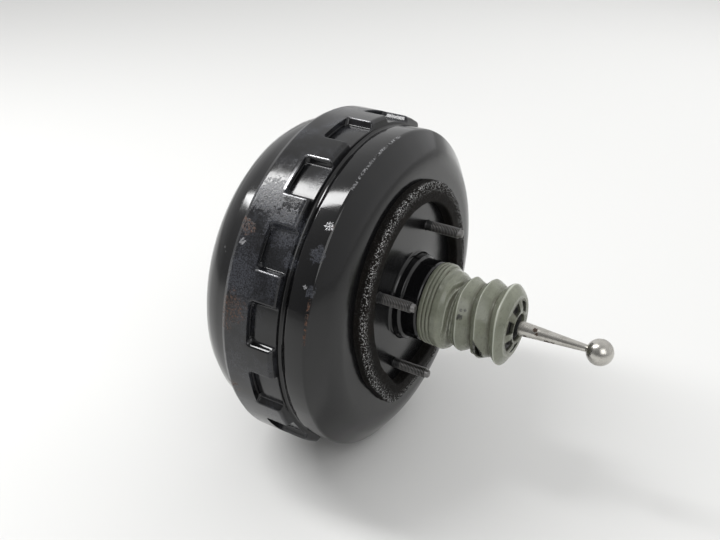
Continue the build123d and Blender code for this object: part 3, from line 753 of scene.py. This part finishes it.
class BOOSTER_OT_gasket(bpy.types.Operator):
    """Cut the foam gasket: a round body, a fuller top and a lobe round each lower stud"""

    bl_idname = "booster.gasket"
    bl_label = "Foam gasket"

    def execute(self, context):
        sizes = settings()[0]
        height, width = sizes.gasket_height / MM, sizes.gasket_width / MM
        body = 80.0
        rounds = [((0, 0), body), ((0, 15.0), 79.5), ((-39.0, -39.0), 31.0), ((39.0, -39.0), 31.0)]
        corners = [(0, body - width), (height, body - width), (height, body), (0, body)]
        bm = outline(corners, [0, 1.4, 2.8, 0], closed=True)
        cut_up(bm, 1.3)
        turn(bm, 300)
        cut = bm.verts.layers.float.new("cut")
        for vert in bm.verts:
            direction = Vector(vert.co.yz).normalized()
            inset = vert.co.yz.length - body * MM
            # Painted light on the foam: specks on the front face near its outer edge, none down the shaded side wall.
            vert[cut] = soft_step(inset / MM / 10 + 1) * soft_step((vert.co.x / MM - height + 4.2) / 3)
            reach = [Vector(centre).dot(direction) + radius for centre, radius in rounds]
            centre, radius = rounds[reach.index(max(reach))]
            moved = Vector(centre) * MM + direction * (radius * MM + inset)
            vert.co.y, vert.co.z = moved
        long_edges = [edge for edge in bm.edges if edge.calc_length() > 3.2 * MM]
        bmesh.ops.subdivide_edges(bm, edges=long_edges, cuts=9, use_grid_fill=True)
        bmesh.ops.rotate(bm, verts=bm.verts, cent=(0, 0, 0), matrix=Matrix.Rotation(math.radians(20), 3, "X"))
        bmesh.ops.recalc_face_normals(bm, faces=bm.faces)
        bm.normal_update()
        moves = {}
        for vert in bm.verts:
            rough = noise.noise(vert.co * 900) * 0.16 + noise.noise(vert.co * 120) * 0.3 - 0.25
            keep = 0.0 if vert.co.x < 0.0004 else 1.0
            moves[vert] = vert.normal * (rough * MM * keep)
        for vert, move in moves.items():
            vert.co += move
            vert.co.x = min(max(vert.co.x, 0.0), sizes.gasket_height)
        made = piece(
            "foam_gasket_ring", bm, made_once("open_cell_foam", open_foam), "housing", ["foam_gasket"],
            crease=60.0,
        )
        return {"FINISHED"}


class BOOSTER_OT_boot(bpy.types.Operator):
    """Mould the bellows boot with its band, wrinkles, ridges, air slots and the tear in its underside"""

    bl_idname = "booster.boot"
    bl_label = "Boot"

    def in_vent(self, point, end):
        """Whether a point of the end wall lies in one of its seven air openings."""
        turned = (angle_of(point) - 103.5 + 180 / 7) % (360 / 7) - 180 / 7
        return point.x > (end - 0.05) * MM and 12.8 < point.yz.length / MM < 19.8 and abs(turned) < 15.5

    def in_tear(self, point):
        """Whether a point lies in the tear, which starts on the second ridge's crest and widens downward."""
        down = (angle_of(point) - 181.0) / 26.0
        reach = 2.7 * down if down < 1 else 3.0 * (1.9 - down)
        return 0 < down < 1.9 and abs(point.x / MM - 66.6 - 2.3 * down) < reach + 0.5 * noise.noise(point * 500)

    def execute(self, context):
        sizes = settings()[0]
        mouth, end = 10.4, 87.0
        line = [(end - 2.4, mouth), (end, mouth), (end, 12.8), (end, 19.8), (end, 24.0)]
        bends = [0.7, 0, 0, 1.9]
        ridges = ((82.5, 30.9, 76.3, 25.2), (66.9, 29.8, 60.7, 23.6), (51.0, 28.2, 43.2, 24.2))
        for ridge, crest, valley, depth in ridges:
            line += [(ridge, crest), (valley, depth)]
            bends += [0.8, 1.6]
        line += [(39.8, 29.8), (36.6, 31.9)]
        bends += [1.2, 2.4]
        for groove in (31.3, 28.3, 25.3):
            line += [(groove + 0.9, 31.9), (groove, 30.9), (groove - 0.9, 31.8)]
            bends += [0.4, 0.4, 0.4]
        line += [(22.6, 31.6), (NECK_END, 31.2)]
        bends.append(0.3)
        bm = outline(line, bends)
        cut_up(bm, 0.8)
        turn(bm, 240)
        face_out(bm)
        # Masks for the rubber: crest marks painted highlights on ridge and ripple tops; valley marks dirt and painted
        # shade in folds, grooves and the end's recess.
        crest_highlight_of = bm.verts.layers.float.new("crest")
        valley_dirt_and_shade_of = bm.verts.layers.float.new("valley")
        torn = bm.verts.layers.float.new("torn")
        holes = [face for face in bm.faces if self.in_vent(face.calc_center_median(), end) or self.in_tear(face.calc_center_median())]
        bmesh.ops.delete(bm, geom=holes, context="FACES")
        for vert in bm.verts:
            along, radius, angle = vert.co.x / MM, vert.co.yz.length / MM, angle_of(vert.co)
            for ridge, crest, valley, depth in ridges:
                line_here = soft_step(1.1 - abs(along - ridge) / 0.6) * soft_step((radius - crest + 1.2) / 0.8)
                vert[crest_highlight_of] = max(vert[crest_highlight_of], line_here)
                vert[valley_dirt_and_shade_of] = max(vert[valley_dirt_and_shade_of], soft_step(1 - abs(along - valley) / 3.4))
            # The band's grooves: darkened as dirt and painted shade.
            if along < 34:
                vert[valley_dirt_and_shade_of] = max(vert[valley_dirt_and_shade_of], soft_step((31.7 - radius) / 0.5))
            free = soft_step((along - 25) / 12) * soft_step((end - 0.5 - along) / 6)
            sag = noise.noise(Vector((along * 0.05, vert.co.y * 55, vert.co.z * 55))) * 1.1
            fine = noise.noise(Vector((along * 0.16, vert.co.y * 130, vert.co.z * 130))) * 0.35
            wander = noise.noise(Vector((along * 0.11, vert.co.y * 38, vert.co.z * 38)))
            waist = soft_step((along - 39.5) / 2) * soft_step((49.8 - along) / 2) * soft_step(1.7 - abs(angle - 150) / 50)
            ripple = math.sin((along + 0.048 * angle + 1.6 * wander) * 2.1)
            # Ripple tops get painted highlight, their troughs painted shade.
            vert[crest_highlight_of] = max(vert[crest_highlight_of], soft_step(ripple * 4 - 3) * waist * 0.7)
            vert[valley_dirt_and_shade_of] = max(vert[valley_dirt_and_shade_of], soft_step(-ripple * 2 - 0.6) * waist)
            caved = soft_step((along - 28.5) / 6) * soft_step((48 - along) / 5) * soft_step((64 - abs(angle - 60)) / 36)
            crease = ripple * 0.55 * waist - caved * 3.0
            droop = 1.3 * soft_step(0.5 - vert.co.z / MM / 50)
            flap = soft_step(1 - abs(along - 63.5) / 3) * soft_step((angle - 198) / 14) * soft_step((250 - angle) / 16)
            shift = (sag + fine + droop - 0.3) * free + crease + flap * (1.6 + 2 * noise.noise(vert.co * 260))
            lean = soft_step(vert.co.z / MM / 28) * soft_step((along - 42) / 14) * soft_step((end - 1 - along) / 5)
            set_polar(vert.co, (radius + shift) * MM, angle)
            vert.co.x -= 3.1 * lean * MM
            edge_here = any(edge.is_boundary for edge in vert.link_edges)
            if edge_here and 60 < along < 78:
                vert[torn] = 1.0
                vert.co += Vector((noise.noise(vert.co * 900), 0, noise.noise(vert.co * 700 + Vector((3, 1, 2))))) * 0.0008
            # The end's recess round the rod: pushed in, and darkened in full as dirt and painted shade.
            if along > end - 2.5 and radius < 21.5:
                vert.co.x += 2.4 * soft_step((21.5 - radius) / 8) * MM
                vert[valley_dirt_and_shade_of] = 1.0
                vert[torn] = 0.8 if edge_here else 0.0
        made = piece(
            "boot_bellows", bm, made_once("grey_boot_rubber", boot_rubber), "housing", ["boot"],
            crease=70.0, wall=sizes.boot_wall / MM,
        )
        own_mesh(made)
        return {"FINISHED"}


class BOOSTER_OT_push_rod(bpy.types.Operator):
    """Turn the push rod: a round head inside, a long taper and the ball"""

    bl_idname = "booster.push_rod"
    bl_label = "Push rod"

    def ball(self, centre, radius, start, end, steps):
        """Points along a part of a ball's outline, at angles from +X."""
        turns = [math.radians(start + (end - start) * step / steps) for step in range(steps + 1)]
        return [(centre + radius * math.cos(angle), abs(radius * math.sin(angle))) for angle in turns]

    def execute(self, context):
        sizes = settings()[0]
        shank, ball = sizes.rod_radius / MM, sizes.ball_radius / MM
        tip = 2.7
        corners = self.ball(-0.6, 4.2, 180, math.degrees(math.asin(2.6 / 4.2)), 12)
        neck_end = len(corners)
        corners += [(6.4, 2.6), (8.4, 4.6), (55.15, 4.6), (55.15, shank), (92.0, shank), (140.2, tip)]
        corners += self.ball(150.0, ball, 180 - math.degrees(math.asin((tip + 0.5) / ball)), 0, 28)
        bm = outline(corners, [0] * (neck_end - 1) + [0.6, 0.6, 0, 0.4, 14.0, 0.8])
        cut_up(bm, 2.5)
        turn(bm, 64)
        for vert in bm.verts:
            for spot, reach in ROD_MARKS[:4]:
                nick = soft_step(1 - (vert.co / MM - Vector(spot)).length / reach)
                radius = vert.co.yz.length
                set_polar(vert.co, max(radius - nick * 0.22 * MM, 0.0), angle_of(vert.co))
        piece(
            "push_rod_turned", bm, made_once("turned_rod_steel", bright_steel), "push_rod",
            ["input_rod"], crease=35.0,
        )
        return {"FINISHED"}


def coil(name, node, start, end, radius, wire, turns, place=None):
    """A closed-end spring along the axis that stands for a node."""
    bm = bmesh.new()
    round_wire = bmesh.ops.create_circle(bm, cap_ends=False, segments=8, radius=wire * MM)
    bmesh.ops.translate(bm, verts=round_wire["verts"], vec=((start + wire) * MM, radius * MM, 0))
    steps = round(turns * 28)
    pitch = (end - start - 2 * wire) * MM / steps
    bmesh.ops.spin(
        bm, geom=bm.verts[:] + bm.edges[:], cent=(0, 0, 0), axis=(1, 0, 0), dvec=(pitch, 0, 0),
        angle=math.tau * turns, steps=steps, use_merge=False, use_normal_flip=False, use_duplicate=False,
    )
    bmesh.ops.holes_fill(bm, edges=bm.edges, sides=8)
    bmesh.ops.recalc_face_normals(bm, faces=bm.faces)
    if place:
        place_at(bm, *place)
    made = piece(
        name, bm, made_once("oiled_spring_wire", oiled_wire), frame_body(node), [node], crease=60.0
    )
    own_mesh(made)
    return made


def frame_body(node):
    """Name of the body that carries a CAD node."""
    for body, nodes in frame["record"]["behaviour"]["bodies"].items():
        if node in nodes:
            return body
    raise RuntimeError(f"no body carries {node}")


class BOOSTER_OT_inner_works(bpy.types.Operator):
    """Wind the springs, mould the diaphragm and give the carried-over nodes their finishes"""

    bl_idname = "booster.inner_works"
    bl_label = "Inner works"

    finishes = {
        "plain_steel": ("plated_steel", plated_steel),
        "seal_rubber": ("black_seal_rubber", seal_rubber),
        "black_plastic": ("moulded_plastic", moulded_plastic),
        "felt": ("pressed_felt", pressed_felt),
        "black_paint": ("gloss_black_paint", gloss_paint),
        "stud_steel": ("phosphated_steel", dark_steel),
        "spring_steel": ("oiled_spring_wire", oiled_wire),
        "bright_steel": ("turned_rod_steel", bright_steel),
        "foam": ("open_cell_foam", open_foam),
        "boot_rubber": ("grey_boot_rubber", boot_rubber),
    }

    def execute(self, context):
        for row in frame["record"]["subparts"]:
            material = made_once(*self.finishes[row["material_slot"]])
            for slot in frame["nodes"][row["node"]].material_slots:
                slot.material = material
        coil("main_spring", "return_spring", -119.1, -18.3, 29.5, 1.8, 7)
        coil("rod_return_spring", "rod_spring", 24.1, 53.4, 9.6, 0.8, 6)
        coil("poppet_coil", "poppet_spring", 9.1, 19.9, 10.0, 0.5, 4)
        coil(
            "check_coil", "check_spring", -122.05, -116.1, 3.6, 0.3, 3,
            (VALVE_ANGLE, VALVE_CIRCLE),
        )
        self.mould_diaphragm()
        return {"FINISHED"}

    def mould_diaphragm(self):
        """Rolling diaphragm: a web that lies on its plate, and a fold against the shell that ends in a thick bead."""
        rubber = made_once("black_seal_rubber", seal_rubber)
        inner, outer, split, seat, bead = 119.6, 121.4, -22.0, -57.5, -70.4
        web = [
            (-14.7, 21.9), (-14.7, 62.9), (-6.7, 74.6), (-6.7, 111.2), (-18.0, outer), (split, outer),
            (split, inner), (-19.0, inner), (-8.5, 109.8), (-8.5, 75.0), (-16.5, 63.4), (-16.5, 21.9),
        ]
        bm = outline(web, [0, 4.0, 4.0, 3.0, 3.0, 0, 0, 2.0, 3.0, 3.0, 3.0, 0], closed=True)
        turn(bm, 120)
        piece("diaphragm_web", bm, rubber, "power_piston", crease=45.0)
        fold = [(split, outer), (seat, outer), (seat, 129.0), (bead, 129.0), (bead, inner), (split, inner)]
        bm = outline(fold, [0, 0.5, 1.0, 1.0, 1.0, 0], closed=True)
        turn(bm, 120)
        made = piece("diaphragm_fold", bm, rubber, "housing", ["diaphragm"], crease=45.0)
        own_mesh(made)


class BOOSTER_OT_studio(bpy.types.Operator):
    """Set the pale floor, the soft lights and the camera at the photograph's angle"""

    bl_idname = "booster.studio"
    bl_label = "Studio"

    def light(self, name, place, aim, size, power, tint=(1.0, 1.0, 1.0)):
        """A soft square light that looks at a point."""
        lamp = bpy.data.lights.new(name, "AREA")
        lamp.shape = "RECTANGLE"
        lamp.size, lamp.size_y = size
        lamp.energy = power
        lamp.color = tint
        made = bpy.data.objects.new(name, lamp)
        made.location = place
        made.rotation_euler = (Vector(aim) - Vector(place)).to_track_quat("-Z", "Y").to_euler()
        bpy.context.scene.collection.objects.link(made)
        return made

    def world(self):
        """Pale surroundings, dimmer on the photographer's side, that the camera sees as white."""
        world = bpy.data.worlds.new("pale_surroundings")
        bpy.context.scene.world = world
        world.use_nodes = True
        nodes, links = world.node_tree.nodes, world.node_tree.links
        back = nodes["Background"]
        direction = nodes.new("ShaderNodeTexCoord")
        parts = nodes.new("ShaderNodeSeparateXYZ")
        strength = nodes.new("ShaderNodeMapRange")
        for name, value in (("From Min", -0.9), ("From Max", 0.5), ("To Min", 0.22), ("To Max", 0.85)):
            strength.inputs[name].default_value = value
        links.new(direction.outputs["Generated"], parts.inputs[0])
        links.new(parts.outputs["Y"], strength.inputs["Value"])
        path = nodes.new("ShaderNodeLightPath")
        seen = nodes.new("ShaderNodeMath")
        seen.operation = "MAXIMUM"
        links.new(strength.outputs[0], seen.inputs[0])
        links.new(path.outputs["Is Camera Ray"], seen.inputs[1])
        links.new(seen.outputs[0], back.inputs["Strength"])
        back.inputs["Color"].default_value = (1.0, 1.0, 1.0, 1.0)

    def execute(self, context):
        tints = settings()[1]
        bm = bmesh.new()
        bmesh.ops.create_grid(bm, x_segments=1, y_segments=1, size=30.0)
        bmesh.ops.translate(bm, verts=bm.verts, vec=(0, 0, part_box("rear_shell")[0].z - 0.0002))
        mesh = bpy.data.meshes.new("floor")
        bm.to_mesh(mesh)
        bm.free()
        finish = Finish("pale_floor")
        mottle = finish.noise(3.0, 4.0, 0.6)
        tone = finish.mixed(mottle * 0.04, tuple(tints.floor), (0.66, 0.66, 0.655))
        mesh.materials.append(finish.shade(base_color=tone, roughness=0.65, specular_ior_level=0.3))
        floor = bpy.data.objects.new("floor", mesh)
        context.scene.collection.objects.link(floor)
        self.world()
        self.light("key", (-1.05, -0.27, 1.3), (-0.05, -0.2, 0.05), (0.28, 1.3), 21.0)
        self.light("fill", (1.1, -0.9, 1.1), (0.02, 0, 0), (1.2, 1.2), 9.0)
        self.light("back", (0.3, 1.5, 1.0), (0, 0, 0), (1.4, 0.8), 10.0).visible_glossy = False
        lens = bpy.data.cameras.new("camera")
        lens.lens, lens.sensor_width = 45.0, 36.0
        lens.clip_start, lens.clip_end = 0.01, 60.0
        camera = bpy.data.objects.new("camera", lens)
        across, down, ahead = Vector((0.854, 0.5202, 0)), Vector((0.257, -0.4218, -0.8695)), Vector((-0.4523, 0.7426, -0.4939))
        turned = Matrix((across, -down, -ahead)).transposed()
        camera.matrix_world = Matrix.Translation(Vector((276.3, -529.2, 360.1)) * MM) @ turned.to_4x4()
        context.scene.collection.objects.link(camera)
        context.scene.camera = camera
        context.scene.view_settings.view_transform = "Standard"
        return {"FINISHED"}


MAKERS = [
    BOOSTER_OT_rear_shell,
    BOOSTER_OT_front_shell,
    BOOSTER_OT_studs,
    BOOSTER_OT_gasket,
    BOOSTER_OT_boot,
    BOOSTER_OT_push_rod,
    BOOSTER_OT_inner_works,
    BOOSTER_OT_studio,
]


class BOOSTER_PT_sidebar(bpy.types.Panel):
    """Lists the booster's pieces and what can be changed on them"""

    bl_idname = "BOOSTER_PT_sidebar"
    bl_label = "Brake booster"
    bl_space_type = "VIEW_3D"
    bl_region_type = "UI"
    bl_category = "Booster"

    def draw(self, context):
        for group in (context.scene.booster_sizes, context.scene.booster_finishes):
            box = self.layout.box()
            for name in group.bl_rna.properties.keys():
                if name not in ("rna_type", "name"):
                    box.prop(group, name)
        for maker in MAKERS:
            self.layout.operator(maker.bl_idname)


CLASSES = [BoosterSizes, BoosterFinishes, *MAKERS, BOOSTER_PT_sidebar]


def register():
    """Registers the classes and puts the sizes and finishes on the scene."""
    for each in CLASSES:
        bpy.utils.register_class(each)
    bpy.types.Scene.booster_sizes = PointerProperty(type=BoosterSizes)
    bpy.types.Scene.booster_finishes = PointerProperty(type=BoosterFinishes)


def unregister():
    """Takes back what register adds."""
    del bpy.types.Scene.booster_finishes
    del bpy.types.Scene.booster_sizes
    for each in reversed(CLASSES):
        bpy.utils.unregister_class(each)


def main():
    """Makes every piece in order."""
    register()
    for maker in MAKERS:
        getattr(bpy.ops.booster, maker.bl_idname.split(".")[1])()


if __name__ == "__main__":
    main()
